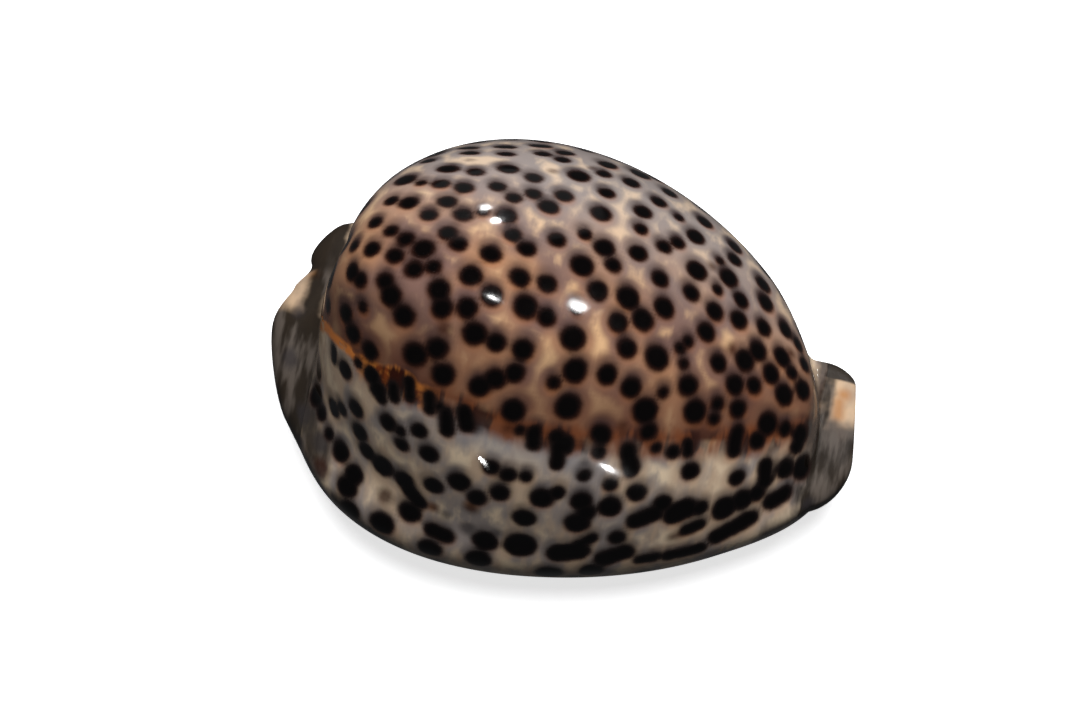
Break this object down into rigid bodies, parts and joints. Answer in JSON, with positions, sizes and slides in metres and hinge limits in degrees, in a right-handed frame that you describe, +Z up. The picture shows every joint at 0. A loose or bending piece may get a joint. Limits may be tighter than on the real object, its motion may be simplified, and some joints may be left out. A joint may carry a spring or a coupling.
{
  "type": "cowrie shell",
  "caption": "Tiger cowrie shell, a glossy domed egg with a thick rim, drawn out at both ends, hollow inside and open underneath along a narrow toothed slit.",
  "frame": {"origin": "centre of the footprint's bounding box, on the ground that the base rests on", "axes": "+X along the shell from the blunt back end to the narrow front end, +Y towards the inner lip's side, +Z up through the top of the dome"},
  "size_m": [0.0978, 0.0722, 0.051],
  "materials": {
    "shell_glaze": "glossy, beige with near-black spots above and cream below"
  },
  "bodies": {
    "root": {"shell": "shell_glaze"}
  },
  "joints": []
}
